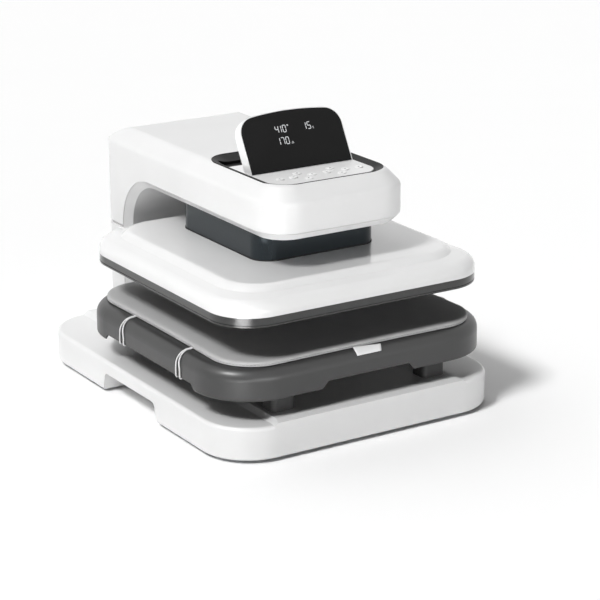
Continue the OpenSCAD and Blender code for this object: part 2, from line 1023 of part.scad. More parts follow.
module display_shell() {
  cavity_low = 16;
  boss_in = 24;
  color(white)
    difference() {
      display_solid(0, -display_t, 0);
      translate([-display_w, display_y - 50, display_z - 50])
        cube([2 * display_w, 150, 50]);
      along_x(display_w + 2)
        difference() {
          polygon([
            [hinge_y, hinge_z], [hinge_y, display_z - 1],
            [display_y + display_t / cos(display_tilt) + 1, display_z - 1],
            [hinge_y + hinge_r * 1.01 * cos(display_tilt), hinge_z - hinge_r * 1.01 * sin(display_tilt)]
          ]);
          translate([hinge_y, hinge_z])
            circle(hinge_r);
        }
      display_solid(display_lip, -glass_t - gap, 1);
      difference() {
        display_solid(display_lip + 2, -display_t + 2.5, -glass_t);
        on_display() {
          translate([-display_w, -10, -display_t - 1])
            cube([2 * display_w, cavity_low + 10, display_t + 2]);
          for (x = [-1, 1], v = [cavity_low + 6, display_h - boss_in])
            translate([x * (display_w / 2 - boss_in), v, -display_t])
              cylinder(r = 2.5, h = display_t - glass_t - 4);
        }
      }
      both_sides()
        translate([ear_x, hinge_y, hinge_z])
          rotate([0, 90, 0])
            cylinder(r = ear_room, h = ear_w + 1, center = true);
      both_sides()
        translate([ear_x, hinge_y, hinge_z])
          rotate([0, 90, 0])
            cylinder(r = hinge_pin_r + push_fit, h = 28, center = true);
    }
}

module display_glass() {
  color(black)
    difference() {
      display_solid(display_lip + gap / 2, -glass_t, 0);
      translate([-display_w, display_y - 50, display_z - 50])
        cube([2 * display_w, 100, 50.5]);
    }
}

module display_board() {
  color(board_green)
    on_display()
      translate([0, 0, -glass_t - 4])
        linear_extrude(board_t)
          intersection() {
            display_outline(8);
            translate([-display_w, 20])
              square([2 * display_w, display_h - 32]);
          }
}

module hinge_pins() {
  color(steel)
    both_sides()
      translate([ear_x, hinge_y, hinge_z])
        rotate([0, 90, 0])
          cylinder(r = hinge_pin_r, h = 26, center = true);
}

// Lift drive

bearing_r = screw_r + 9;

module screw_bearing() {
  color(steel)
    translate([0, screw_y, frame_z0 - 3])
      difference() {
        union() {
          cylinder(r = bearing_r, h = frame_t + 3);
          cylinder(r = bearing_r + 4, h = 3);
        }
        translate([0, 0, -1])
          cylinder(r = screw_r + run_fit, h = frame_t + 5);
      }
}

// Involute tooth flank at radius r, as a half angle from the tooth's middle
function roll(r, rb) = sqrt(pow(r / rb, 2) - 1) * 180 / PI;
function involute(r, rb) = roll(r, rb) - atan(roll(r, rb) * PI / 180);
function half_tooth(r, rp, rb, teeth) =
  90 / teeth - tooth_play * 90 / (PI * rp) + involute(rp, rb) - involute(r, rb);

module gear_outline(teeth) {
  flank_steps = 4;
  rp = gear_module * teeth / 2;
  rb = rp * cos(pressure_angle);
  ra = rp + 0.9 * gear_module;
  rf = rp - 1.15 * gear_module;
  start = max(rb, rf);
  flank = [for (i = [0 : flank_steps]) start + (ra - start) * i / flank_steps];
  side = concat([[rf, half_tooth(start, rp, rb, teeth)]], [for (r = flank) [r, half_tooth(r, rp, rb, teeth)]]);
  count = len(side);
  tooth = concat(
    [for (p = side) [p[0], -p[1]]],
    [for (i = [count - 1 : -1 : 0]) side[i]]
  );
  polygon([
    for (n = [0 : teeth - 1], p = tooth)
      p[0] * [cos(p[1] + 360 * n / teeth), sin(p[1] + 360 * n / teeth)]
  ]);
}

module screw_gear() {
  color("ivory")
    translate([0, screw_y, gear_z])
      difference() {
        rotate(270)
          linear_extrude(gear_h)
            gear_outline(gear_teeth);
        translate([0, 0, -1])
          cylinder(r = screw_r + push_fit, h = gear_h + 2);
        for (a = [0 : 60 : 300])
          rotate(a)
            translate([gear_module * gear_teeth * 0.27, 0, -1])
              cylinder(r = 4, h = gear_h + 2);
      }
}

module motor_pinion() {
  color(brass)
    translate([0, motor_y, gear_z]) {
      rotate(90 + 180 / pinion_teeth)
        linear_extrude(gear_h)
          gear_outline(pinion_teeth);
      translate([0, 0, -16])
        cylinder(r = shaft_r, h = 16 + small);
    }
}

module lead_screw() {
  groove_pitch = 4;
  color(steel)
    translate([0, screw_y, screw_z0])
      difference() {
        cylinder(r = screw_r, h = frame_z1 - screw_z0);
        for (z = [3 : groove_pitch : gear_z - screw_z0 - 4])
          translate([0, 0, z])
            difference() {
              cylinder(r = screw_r + 1, h = 1.4);
              translate([0, 0, -1])
                cylinder(r = screw_r - 0.9, h = 4);
            }
      }
}

module motor_bracket() {
  leg_t = 3;
  front = motor_y - gearbox_r - 4;
  back = screw_y - screw_r - 6;
  color(steel)
    difference() {
      union() {
        translate([-bracket_w / 2, front, bracket_z0])
          cube([bracket_w, back - front, bracket_t]);
        both_sides()
          translate([bracket_w / 2 - leg_t, front, bracket_z0])
            cube([leg_t, back - front, frame_z0 - bracket_z0]);
      }
      translate([0, motor_y, bracket_z0 - 1])
        cylinder(r = shaft_r + 1, h = bracket_t + 2);
    }
}

module lift_motor() {
  color(charcoal)
    translate([0, motor_y, bracket_z0 - gearbox_h])
      difference() {
        union() {
          cylinder(r = gearbox_r, h = gearbox_h);
          translate([0, 0, -motor_h])
            cylinder(r = motor_r, h = motor_h + small);
          translate([0, 0, -motor_h - 4])
            cylinder(r = 6, h = 5);
        }
        translate([0, 0, gearbox_h - 12])
          cylinder(r = shaft_r + run_fit, h = 13);
      }
}

module guide_sleeves() {
  color(brass)
    both_sides()
      translate([post_x, screw_y, sleeve_z0])
        difference() {
          union() {
            cylinder(r = sleeve_r, h = frame_z0 - sleeve_z0);
            translate([0, 0, frame_z0 - sleeve_z0 - 3])
              cylinder(r = sleeve_r + 4, h = 3);
          }
          translate([0, 0, -1])
            cylinder(r = post_r + run_fit, h = frame_z0 - sleeve_z0 + 2);
        }
}

module top_switch() {
  color(black)
    translate([bridge_w / 2 - 11, screw_y - 3.5, frame_z0 - 16]) {
      cube([10, 7, 16]);
      translate([3, 1.5, bridge_z1 + gap - frame_z0 + 16])
        cube([4, 4, frame_z0 - 16 - bridge_z1]);
    }
}

// Platen

module guide_posts() {
  color(steel)
    both_sides()
      translate([post_x, screw_y, bridge_z0])
        cylinder(r = post_r, h = frame_z0 - 8 - bridge_z0);
}

module lift_bridge() {
  foot = 10;
  leg = 3;
  height = bridge_z1 - bridge_z0;
  color(steel)
    translate([0, screw_y, bridge_z0])
      difference() {
        union() {
          translate([-bridge_w / 2, -bridge_d / 2, height - bridge_t])
            cube([bridge_w, bridge_d, bridge_t]);
          both_sides() {
            translate([bridge_w / 2 - leg, -bridge_d / 2, 0])
              cube([leg, bridge_d, height]);
            translate([bridge_w / 2 - leg, -bridge_d / 2, 0])
              cube([leg + foot, bridge_d, leg]);
          }
        }
        translate([0, 0, height - bridge_t - 1])
          cylinder(r = screw_r + 1.5, h = bridge_t + 2);
      }
}

module lift_nut() {
  color(brass)
    translate([0, screw_y, bridge_z1])
      difference() {
        union() {
          cylinder(r = screw_r + 9, h = nut_flange_t);
          cylinder(r = screw_r + 4, h = nut_h);
        }
        translate([0, 0, -1])
          cylinder(r = screw_r + run_fit, h = nut_h + 2);
      }
}

module platen_carrier() {
  color(steel)
    translate([0, platen_y, carrier_z])
      difference() {
        linear_extrude(carrier_t)
          plan(2 * stud_x + 30, 2 * stud_y + 30, 15);
        translate([0, screw_y - platen_y, -1])
          cylinder(r = screw_r + 6, h = carrier_t + 2);
        for (x = [-1, 1], y = [-70, 90])
          translate([x * 80 - 25, y - 20, -1])
            cube([50, 40, carrier_t + 2]);
      }
}

stud_at = [for (x = [-1, 0, 1], y = [-1, 1]) [x * stud_x, platen_y + y * stud_y]];

module platen_studs() {
  color(steel)
    for (p = stud_at)
      translate([p[0], p[1], heat_z1])
        cylinder(r = stud_r, h = carrier_z - heat_z1);
}

cutout_at = [60, platen_y + 20];
cutout_r = 9;

module insulation_board() {
  color([0.75, 0.72, 0.65])
    difference() {
      translate([0, platen_y, 0])
        block(heat_plate_w - 20, heat_plate_w - 20, heat_r - 10, insulation_z, insulation_z + insulation_t);
      for (p = stud_at)
        translate([p[0], p[1], 0])
          cylinder(r = stud_r + gap, h = arm_top);
      translate([cutout_at[0], cutout_at[1], 0])
        cylinder(r = cutout_r + 1, h = arm_top);
    }
}

// Tubular element laid in rows joined by half-round bends
module element_run(d) {
  pitch = element_x[1] - element_x[0];
  last = len(element_x) - 1;
  translate([0, platen_y, element_z]) {
    for (x = element_x)
      translate([x, 0, 0])
        rotate([90, 0, 0])
          cylinder(d = d, h = 2 * element_y, center = true);
    for (i = [0 : last - 1])
      translate([(element_x[i] + element_x[i + 1]) / 2, element_y * (i % 2 == 0 ? 1 : -1), 0])
        rotate(i % 2 == 0 ? 0 : 180)
          rotate_extrude(angle = 180)
            translate([pitch / 2, 0])
              circle(d = d);
  }
}

module heating_element() {
  color(steel)
    element_run(element_d);
}

module thermal_cutout() {
  color(black)
    translate([cutout_at[0], cutout_at[1], heat_z1]) {
      cylinder(r = cutout_r, h = 7);
      translate([-2, -12 + cutout_r, 6])
        cube([4, 6, 8]);
    }
}

module heat_plate() {
  color(charcoal)
    difference() {
      translate([0, platen_y, 0])
        block(heat_plate_w, heat_plate_w, heat_r, platen_z, heat_z1);
      element_run(element_d + 0.2);
    }
}

module platen_rim() {
  edge = 0.8;
  lip_h = 2.8;
  groove_h = 1;
  groove_d = 0.9;
  ring_in = heat_plate_w + 2 * gap;
  color(charcoal)
    difference() {
      translate([0, platen_y, 0])
        slab(platen_w, platen_d, platen_r, rim_z0, rim_z1)
          difference() {
            polygon([
              [0, rim_z0], [platen_r - edge, rim_z0], [platen_r, rim_z0 + edge],
              [platen_r, rim_z1], [0, rim_z1]
            ]);
            translate([platen_r - groove_d, rim_z0 + lip_h])
              square([2, groove_h]);
          }
      translate([0, platen_y, 0])
        block(ring_in, ring_in, heat_r + gap, rim_z0 - 1, rim_z1 + 1);
    }
}

// Cover profile outside the plateau: a rounded shoulder, a gentle slope and a swept skirt, whose
// points are run outwards from the plateau and drop below it
skirt = [[0, 0], [3, 0.2], [5.5, 1], [8, 2.4], [11, 4.9], [14, 7.75]];
skirt_end = skirt[len(skirt) - 1];
shoulder_r = 16;
shoulder_lean = 18;
meet_in = shoulder_r * (1 - sin(shoulder_lean));
foot_in = plateau_inset - skirt_end[0];
foot_z = plateau_z - skirt_end[1];
meet_z = foot_z - (foot_in - meet_in) * tan(shoulder_lean);
shoulder_rise = meet_z - rim_z1 - shoulder_r * cos(shoulder_lean);

module shoulder_edge(step) {
  r = platen_r - step;
  curve = shoulder_r - step;
  z0 = rim_z1 - (step > 0 ? 1 : 0);
  centre_z = rim_z1 + shoulder_rise;
  rise = curve * cos(shoulder_lean);
  meet_u = r - curve + curve * sin(shoulder_lean);
  polygon([[0, z0], [r, z0], [r, centre_z], [meet_u, centre_z + rise], [0, centre_z + rise]]);
  intersection() {
    translate([r - curve, centre_z])
      circle(curve);
    translate([r - curve, centre_z])
      square([curve, rise]);
  }
}

function shoulder_top(step) = rim_z1 + shoulder_rise + (shoulder_r - step) * cos(shoulder_lean);

module cover_ring(inset, r, z, h) {
  translate([0, 0, z - h])
    linear_extrude(h)
      plan(platen_w - 2 * inset, platen_d - 2 * inset, r);
}

module skirt_ring(i) {
  cover_ring(plateau_inset - skirt[i][0], plateau_r + skirt[i][0], plateau_z - skirt[i][1], small);
}

module cover_solid() {
  slab(platen_w, platen_d, platen_r, rim_z1, shoulder_top(0))
    shoulder_edge(0);
  hull() {
    cover_ring(meet_in + 0.2, platen_r - meet_in, meet_z, 1);
    skirt_ring(len(skirt) - 1);
  }
  for (i = [0 : len(skirt) - 2])
    hull() {
      skirt_ring(i);
      skirt_ring(i + 1);
    }
}

module cover_hollow() {
  side = plateau_inset + wall / 2;
  slab(platen_w - 2 * wall, platen_d - 2 * wall, platen_r - wall, rim_z1 - 1, shoulder_top(wall))
    shoulder_edge(wall);
  block(platen_w - 2 * side, platen_d - 2 * side, plateau_r - wall / 2, rim_z1, plateau_z - wall);
}

module platen_cover() {
  port_w = neck_w - 2 * wall - 8;
  port_d = neck_d - 2 * wall - 8;
  color(white)
    difference() {
      translate([0, platen_y, 0])
        cover_solid();
      translate([0, platen_y, 0])
        cover_hollow();
      translate([0, neck_y, 0])
        block(port_w, port_d, neck_r - wall - 4, rim_z1, plateau_z + 1);
    }
}

module neck_gasket() {
  color(black)
    translate([0, neck_y, 0])
      difference() {
        block(neck_w + 1.4, neck_d + 1.4, neck_r + 0.7, plateau_z, plateau_z + gasket_t);
        block(neck_w - 2 * wall, neck_d - 2 * wall, neck_r - wall, plateau_z - 1, plateau_z + gasket_t + 1);
      }
}

module neck_shell() {
  color(slate)
    translate([0, neck_y, 0])
      difference() {
        block(neck_w, neck_d, neck_r, plateau_z + gasket_t, neck_top);
        block(neck_w - 2 * wall, neck_d - 2 * wall, neck_r - wall, plateau_z, neck_top + 1);
      }
}

// Tray

module tray_edge(step) {
  low = 3;
  z0 = tray_z - (step > 0 ? 5 : 0);
  round_edge(tray_r - step, z0, tray_top - step, tray_edge_r - step, low);
}

// Grip notch outline with leaning ends, drawn from the tray's lower edge
module grip_outline(length, height) {
  lean = height;
  half = length / 2;
  polygon([[-half - lean, -1], [half + lean, -1], [half, height], [-half, height]]);
}

module tray_shell() {
  color(charcoal)
    difference() {
      translate([0, tray_y, 0])
        slab(tray_w, tray_d, tray_r, tray_z, tray_top)
          tray_edge(0);
      translate([0, tray_y, 0])
        slab(tray_w - 2 * wall, tray_d - 2 * wall, tray_r - wall, tray_z - 5, tray_top - wall)
          tray_edge(wall);
      translate([0, tray_y - tray_d / 2 + 10, tray_z])
        rotate([90, 0, 0])
          linear_extrude(20)
            grip_outline(front_grip_l, front_grip_h);
      both_sides()
        translate([tray_w / 2 - 10, tray_y, tray_z])
          rotate([90, 0, 90])
            linear_extrude(20)
              grip_outline(side_grip_l, side_grip_h);
    }
}

leg_w = 34.5;
leg_d = 29;
leg_r = 7;
leg_in = 33;
leg_x = tray_w / 2 - 94.8;
leg_at = [for (x = [-1, 1], y = [-1, 1]) [x * leg_x, tray_y + y * (tray_d / 2 - leg_in)]];

module tray_legs() {
  color(black)
    for (p = leg_at)
      translate([p[0], p[1], platform_z + gap])
        linear_extrude(tray_top - wall - platform_z - gap)
          plan(leg_w, leg_d, leg_r);
}

// Soft pad: a rounded outline drawn in along its sides, with a rounded edge and a low crown
pad_draw = 1.6;
pad_arc_steps = 8;
pad_side_steps = 6;
pad_rings = [
  [4, 0], [1, 0.6], [0, 0.25 * pad_t], [0, 0.6 * pad_t], [1, 0.85 * pad_t],
  [3.5, 0.97 * pad_t], [8, pad_t], [30, pad_t], [75, pad_t], [130, pad_t]
];

// Point of the pad's outline, counted by corner and step, at an inset
function pad_corner(q, i, inset) =
  let (
    half_w = pad_w / 2 - pad_r,
    half_d = pad_d / 2 - pad_r,
    r = max(pad_r - inset, 4),
    shrink = max(inset - pad_r + 4, 0),
    sx = q == 0 || q == 3 ? 1 : -1,
    sy = q < 2 ? 1 : -1,
    a = 90 * q + 90 * i / pad_arc_steps
  )
  [sx * (half_w - shrink) + r * cos(a), sy * (half_d - shrink) + r * sin(a)];

function pad_outline(inset) = [
  for (q = [0 : 3])
    let (a = pad_corner(q, pad_arc_steps, inset), b = pad_corner((q + 1) % 4, 0, inset))
      each concat(
        [for (i = [0 : pad_arc_steps]) pad_corner(q, i, inset)],
        [
          for (j = [1 : pad_side_steps - 1])
            let (
              f = j / pad_side_steps,
              n = [b[1] - a[1], a[0] - b[0]] / norm(b - a)
            )
              a + (b - a) * f - n * pad_draw * sin(180 * f)
        ]
      )
];

function crown(p) =
  pad_crown * (1 - pow(p[0] / pad_w * 2, 2)) * (1 - pow(p[1] / pad_d * 2, 2));

module pad() {
  count = len(pad_outline(0));
  last = len(pad_rings) - 1;
  points = concat(
    [
      for (ring = pad_rings, p = pad_outline(ring[0]))
        [p[0], p[1] + tray_y, pad_z + ring[1] + crown(p) * ring[1] / pad_t]
    ],
    [[0, tray_y, pad_z], [0, tray_y, pad_top]]
  );
  low = (last + 1) * count;
  color([0.75, 0.75, 0.75])
    polyhedron(points, concat(
      [for (i = [0 : count - 1]) [low, i, (i + 1) % count]],
      [
        for (k = [0 : last - 1], i = [0 : count - 1])
          each let (a = k * count + i, b = k * count + (i + 1) % count)
            [[a, a + count, b + count], [a, b + count, b]]
      ],
      [for (i = [0 : count - 1]) [low + 1, last * count + (i + 1) % count, last * count + i]]
    ));
}

// Elastic cord loops over the tray's side edges, each an upside-down V from the pad to the grip notch
loop_at = [69.3, -82];
loop_spread = 9.7;
elastic_r = elastic_d / 2;
loop_r = tray_edge_r + elastic_r + gap;
loop_steps = 7;
elastic_sides = 6;

// Stations down one strand: sideways place, height and outward direction
function strand() = concat(
  [[pad_w / 2 + 2 * gap, tray_top + gap + elastic_r, 90]],
  [
    for (i = [0 : loop_steps])
      let (a = 90 * (1 - i / loop_steps))
        [tray_w / 2 - tray_edge_r + loop_r * cos(a), tray_top - tray_edge_r + loop_r * sin(a), a]
  ],
  [[tray_w / 2 + elastic_r + gap, tray_z + side_grip_h + 6, 0], [tray_w / 2 + elastic_r + gap, tray_z + side_grip_h, 0]]
);

function loop_path(y) =
  let (s = strand(), n = len(s) - 1, top = s[0][1], low = s[n][1])
  concat(
    [
      for (i = [n : -1 : 0])
        [s[i][0], y + elastic_r * 1.3 + (loop_spread / 2 - elastic_r * 1.3) * (top - s[i][1]) / (top - low), s[i][1], s[i][2]]
    ],
    [
      for (i = [0 : n])
        [s[i][0], y - elastic_r * 1.3 - (loop_spread / 2 - elastic_r * 1.3) * (top - s[i][1]) / (top - low), s[i][1], s[i][2]]
    ]
  );

function along(path, i) =
  let (a = path[max(i - 1, 0)], b = path[min(i + 1, len(path) - 1)], d = [b[0] - a[0], b[1] - a[1], b[2] - a[2]])
  d / norm(d);

module elastic_loop(y) {
  path = loop_path(y);
  count = len(path);
  points = [
    for (i = [0 : count - 1])
      let (
        t = along(path, i),
        out = [cos(path[i][3]), 0, sin(path[i][3])],
        side = cross(t, out) / norm(cross(t, out)),
        up = cross(side, t)
      )
        for (k = [0 : elastic_sides - 1])
          [path[i][0], path[i][1], path[i][2]]
          + elastic_r * (up * cos(360 * k / elastic_sides) + side * sin(360 * k / elastic_sides))
  ];
  polyhedron(points, concat(
    [[for (k = [0 : elastic_sides - 1]) k]],
    [
      for (i = [0 : count - 2], k = [0 : elastic_sides - 1])
        each let (
          a = i * elastic_sides + k,
          b = i * elastic_sides + (k + 1) % elastic_sides
        )
          [[a, a + elastic_sides, b + elastic_sides], [a, b + elastic_sides, b]]
    ],
    [[for (k = [elastic_sides - 1 : -1 : 0]) (count - 1) * elastic_sides + k]]
  ));
}

module elastic_loops() {
  color(white)
    both_sides()
      for (y = loop_at)
        elastic_loop(tray_y + y);
}

module sewn_tag() {
  tag_t = 0.8;
  r = tray_edge_r + gap;
  color(white)
    translate([1 - tag_w / 2, tray_y - tray_d / 2 + tray_edge_r, tray_top - tray_edge_r])
      rotate([90, 0, 90])
        linear_extrude(tag_w)
          difference() {
            intersection() {
              circle(r + tag_t);
              polygon([[0, 0], [-2 * r * cos(30), 2 * r * sin(30)], [-2 * r * cos(72), 2 * r * sin(72)]]);
            }
            circle(r);
          }
}

base_cover();
base_plate();
rubber_feet();
base_screws();
column_frame();
frame_bolts();
arm_frame();
column_cover();
arm_cover();
arm_liner();
power_inlet();
switch_housing();
switch_rocker();
power_board();
control_board();
recess_bezel();
key_panel();
key_board();
key_1();
key_2();
key_3();
key_4();
key_5();
key_6();
key_7();
key_8();
key_9();
key_10();
display_shell();
display_glass();
display_board();
hinge_pins();
motor_bracket();
lift_motor();
motor_pinion();
screw_gear();
lead_screw();
screw_bearing();
guide_sleeves();
top_switch();
guide_posts();
lift_bridge();
lift_nut();
platen_carrier();
platen_studs();
insulation_board();
heating_element();
thermal_cutout();
heat_plate();
platen_rim();
platen_cover();
neck_gasket();
neck_shell();
tray_shell();
tray_legs();
pad();
elastic_loops();
sewn_tag();
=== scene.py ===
"""Looks of the automatic heat press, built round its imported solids. Metres; X right, Y back, Z up."""
import math

import bpy
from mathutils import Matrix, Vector


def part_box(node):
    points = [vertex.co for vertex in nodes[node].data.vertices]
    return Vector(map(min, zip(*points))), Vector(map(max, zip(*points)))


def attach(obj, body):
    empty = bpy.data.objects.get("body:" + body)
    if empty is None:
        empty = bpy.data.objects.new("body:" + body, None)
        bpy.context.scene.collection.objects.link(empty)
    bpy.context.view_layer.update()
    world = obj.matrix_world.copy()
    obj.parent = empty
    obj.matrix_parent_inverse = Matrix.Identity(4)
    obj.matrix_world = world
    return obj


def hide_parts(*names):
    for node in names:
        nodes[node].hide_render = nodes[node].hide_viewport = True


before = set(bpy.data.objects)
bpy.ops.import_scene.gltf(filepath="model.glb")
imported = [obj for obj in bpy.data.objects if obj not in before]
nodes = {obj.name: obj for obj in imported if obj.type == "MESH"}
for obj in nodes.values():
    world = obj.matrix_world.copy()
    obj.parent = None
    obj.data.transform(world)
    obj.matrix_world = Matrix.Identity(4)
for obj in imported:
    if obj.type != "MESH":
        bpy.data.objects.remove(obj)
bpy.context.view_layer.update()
scene = bpy.context.scene
MM = 0.001
X_AXIS, Y_AXIS, Z_AXIS = Vector((1, 0, 0)), Vector((0, 1, 0)), Vector((0, 0, 1))
CORNER_SIGNS = ((1, 1), (-1, 1), (-1, -1), (1, -1))


# Materials

TEXTURE_LOW, TEXTURE_HIGH = 0.3, 0.7    # the middle range of a noise, which tones and glosses are spread over
CLOUD_SCALE, SMEAR_SCALE = 14.0, 55.0   # cloudy tone and uneven gloss of plastic
PLASTIC_GLOSS_VARY, METAL_GLOSS_VARY = 0.035, 0.06
METAL_DARK, METAL_BUMP, METAL_DEPTH = 0.88, 0.06, 0.00005
WAVE_REPEATS = 20.0 / 6.2832            # how often a wave texture of scale 1 repeats in a unit
FIBRE_SCALE, CLOTH_CLOUD_SCALE = 900.0, 22.0
CLOTH_ROUGH, CLOTH_LEVEL, WEAVE_DEPTH = 0.86, 0.2, 0.00025
GLOW_CELLS, GLOW_DARK, GLOW_BASE = 2600.0, 0.9, 0.02
WHITE = (1.0, 1.0, 1.0, 1.0)


def shader(name):
    """A new material with its node tree and its principled shader."""
    mat = bpy.data.materials.new(name)
    mat.use_nodes = True
    tree = mat.node_tree
    return mat, tree, tree.nodes["Principled BSDF"]


def add(tree, kind, **values):
    """A node with its properties (lower case) and its inputs (by name) set."""
    node = tree.nodes.new(kind)
    for key, value in values.items():
        if hasattr(node, key):
            setattr(node, key, value)
        else:
            node.inputs[key.replace("_", " ")].default_value = value
    return node


def coordinates(tree, scale=(1.0, 1.0, 1.0)):
    """Object coordinates, stretched by a scale."""
    place = add(tree, "ShaderNodeMapping", Scale=scale)
    source = add(tree, "ShaderNodeTexCoord")
    tree.links.new(source.outputs["Object"], place.inputs["Vector"])
    return place.outputs["Vector"]


def noise(tree, where, scale, detail=2.0, rough=0.5):
    """A noise texture's grey value."""
    node = add(tree, "ShaderNodeTexNoise", Scale=scale, Detail=detail, Roughness=rough)
    tree.links.new(where, node.inputs["Vector"])
    return node.outputs["Fac"]


def spread(tree, value, low, high):
    """Maps a texture's middle range on low to high."""
    node = add(tree, "ShaderNodeMapRange", From_Min=TEXTURE_LOW, From_Max=TEXTURE_HIGH, To_Min=low, To_Max=high)
    tree.links.new(value, node.inputs["Value"])
    return node.outputs["Result"]


def tinted(tree, value, dark, light):
    """Colour between two tones by a texture."""
    node = add(tree, "ShaderNodeValToRGB")
    ends = node.color_ramp.elements
    ends[0].position, ends[1].position = TEXTURE_LOW, TEXTURE_HIGH
    ends[0].color, ends[1].color = (*dark, 1.0), (*light, 1.0)
    tree.links.new(value, node.inputs["Fac"])
    return node.outputs["Color"]


def clouded(tree, bsdf, where, scale, detail, tone, vary):
    """Gives a shader a tone that varies in soft clouds."""
    dark = [c * (1 - vary) for c in tone]
    light = [min(c * (1 + vary), 1.0) for c in tone]
    cloud = noise(tree, where, scale, detail)
    tree.links.new(tinted(tree, cloud, dark, light), bsdf.inputs["Base Color"])


def bumped(tree, bsdf, height, strength, distance):
    """Gives a shader the fine relief of a texture."""
    node = add(tree, "ShaderNodeBump", Strength=strength, Distance=distance)
    tree.links.new(height, node.inputs["Height"])
    tree.links.new(node.outputs["Normal"], bsdf.inputs["Normal"])


def plastic(name, tone, rough, vary=0.015, grain=1800.0, strength=0.08, depth=0.00006, coat=0.0, level=0.5,
            coat_rough=0.12, sheen_tone=(1.0, 1.0, 1.0)):
    """Moulded plastic: cloudy tone, fine moulded grain and a gloss that varies a little."""
    mat, tree, bsdf = shader(name)
    where = coordinates(tree)
    clouded(tree, bsdf, where, CLOUD_SCALE, 3.0, tone, vary)
    smear = noise(tree, where, SMEAR_SCALE, 4.0, 0.6)
    gloss = spread(tree, smear, rough - PLASTIC_GLOSS_VARY, rough + PLASTIC_GLOSS_VARY)
    tree.links.new(gloss, bsdf.inputs["Roughness"])
    if strength:
        bumped(tree, bsdf, noise(tree, where, grain), strength, depth)
    bsdf.inputs["Specular IOR Level"].default_value = level
    bsdf.inputs["Specular Tint"].default_value = (*sheen_tone, 1.0)
    bsdf.inputs["Coat Weight"].default_value = coat
    bsdf.inputs["Coat Roughness"].default_value = coat_rough
    return mat


def metal(name, tone, rough, stretch=(30.0, 900.0, 900.0)):
    """Bare or coated metal with fine drawn lines."""
    mat, tree, bsdf = shader(name)
    lines = noise(tree, coordinates(tree, stretch), 1.0, 4.0, 0.6)
    tree.links.new(tinted(tree, lines, [c * METAL_DARK for c in tone], tone), bsdf.inputs["Base Color"])
    gloss = spread(tree, lines, rough - METAL_GLOSS_VARY, rough + METAL_GLOSS_VARY)
    tree.links.new(gloss, bsdf.inputs["Roughness"])
    bumped(tree, bsdf, lines, METAL_BUMP, METAL_DEPTH)
    bsdf.inputs["Metallic"].default_value = 1.0
    return mat


def cloth(name, tone, pitch, strength, sheen=0.15, vary=0.06):
    """Plain weave: crossed threads at a pitch, soft fibres and cloudy tone."""
    mat, tree, bsdf = shader(name)
    where = coordinates(tree)
    weave = add(tree, "ShaderNodeMath", operation="MULTIPLY")
    for slot, axis in enumerate(("X", "Y")):
        wave = add(tree, "ShaderNodeTexWave", wave_type="BANDS", bands_direction=axis,
                   Scale=1.0 / (pitch * WAVE_REPEATS), Distortion=0.6, Detail=1.0, Detail_Scale=3.0)
        tree.links.new(where, wave.inputs["Vector"])
        tree.links.new(wave.outputs["Fac"], weave.inputs[slot])
    fibre = add(tree, "ShaderNodeMath", operation="ADD")
    tree.links.new(weave.outputs[0], fibre.inputs[0])
    tree.links.new(noise(tree, where, FIBRE_SCALE, 3.0), fibre.inputs[1])
    clouded(tree, bsdf, where, CLOTH_CLOUD_SCALE, 4.0, tone, vary)
    bumped(tree, bsdf, fibre.outputs[0], strength, WEAVE_DEPTH)
    bsdf.inputs["Roughness"].default_value = CLOTH_ROUGH
    bsdf.inputs["Specular IOR Level"].default_value = CLOTH_LEVEL
    bsdf.inputs["Sheen Weight"].default_value = sheen
    return mat


def glow(name, tone, strength):
    """Lit print on the display's window."""
    mat, tree, bsdf = shader(name)
    cells = noise(tree, coordinates(tree), GLOW_CELLS, 1.0)
    tree.links.new(tinted(tree, cells, [c * GLOW_DARK for c in tone], tone), bsdf.inputs["Emission Color"])
    bsdf.inputs["Base Color"].default_value = (GLOW_BASE, GLOW_BASE, GLOW_BASE, 1.0)
    bsdf.inputs["Emission Strength"].default_value = strength
    return mat


def grey(value):
    """A neutral tone."""
    return [value, value, value]


satin_white = plastic("satin_white", grey(0.75), 0.36, coat=0.3)
gloss_white = plastic("gloss_white", grey(0.76), 0.34, strength=0.0, coat=1.0, coat_rough=0.04)
panel_white = plastic("panel_white", grey(0.82), 0.42)
shell_white = plastic("shell_white", grey(0.9), 0.42)
# The keys are whiter than the panel round them: partly painted highlight for the lit tops of raised keys.
key_white = plastic("key_white", grey(0.97), 0.4)
charcoal = plastic("charcoal", grey(0.034), 0.36, vary=0.04, grain=2600.0, strength=0.1, level=0.6)
rim_dark = plastic("rim_dark", grey(0.012), 0.235, vary=0.04, grain=2600.0, strength=0.05, coat=0.5)
leg_black = plastic("leg_black", grey(0.022), 0.5, vary=0.05)
recess_black = plastic("recess_black", grey(0.007), 0.42, vary=0.05, level=0.2)
slate = plastic("slate", [0.008, 0.011, 0.013], 0.2, vary=0.04, strength=0.02, level=0.42,
                sheen_tone=(0.8, 0.92, 1.0))
window = plastic("window", grey(0.009), 0.12, vary=0.05, grain=300.0, strength=0.004, level=0.12)
rubber = plastic("rubber", grey(0.02), 0.75, vary=0.1, grain=1500.0, strength=0.2, level=0.3)
ivory = plastic("ivory", [0.8, 0.76, 0.62], 0.45)
board_green = plastic("board_green", [0.02, 0.13, 0.06], 0.35, vary=0.12, grain=500.0, strength=0.3)
felt = cloth("felt", [0.55, 0.53, 0.47], 0.003, 0.5)
steel = metal("steel", [0.55, 0.56, 0.58], 0.32)
zinc = metal("zinc", [0.6, 0.62, 0.64], 0.42, (60.0, 60.0, 60.0))
brass = metal("brass", [0.72, 0.52, 0.24], 0.3)
plate_coat = plastic("plate_coat", grey(0.045), 0.5, vary=0.08, grain=1200.0, strength=0.3)
pad_grey = cloth("pad_grey", grey(0.46), 0.0011, 0.35, sheen=0.04, vary=0.025)
elastic_white = cloth("elastic_white", grey(0.82), 0.0009, 0.5)
tag_white = cloth("tag_white", grey(0.85), 0.0007, 0.3, vary=0.02)
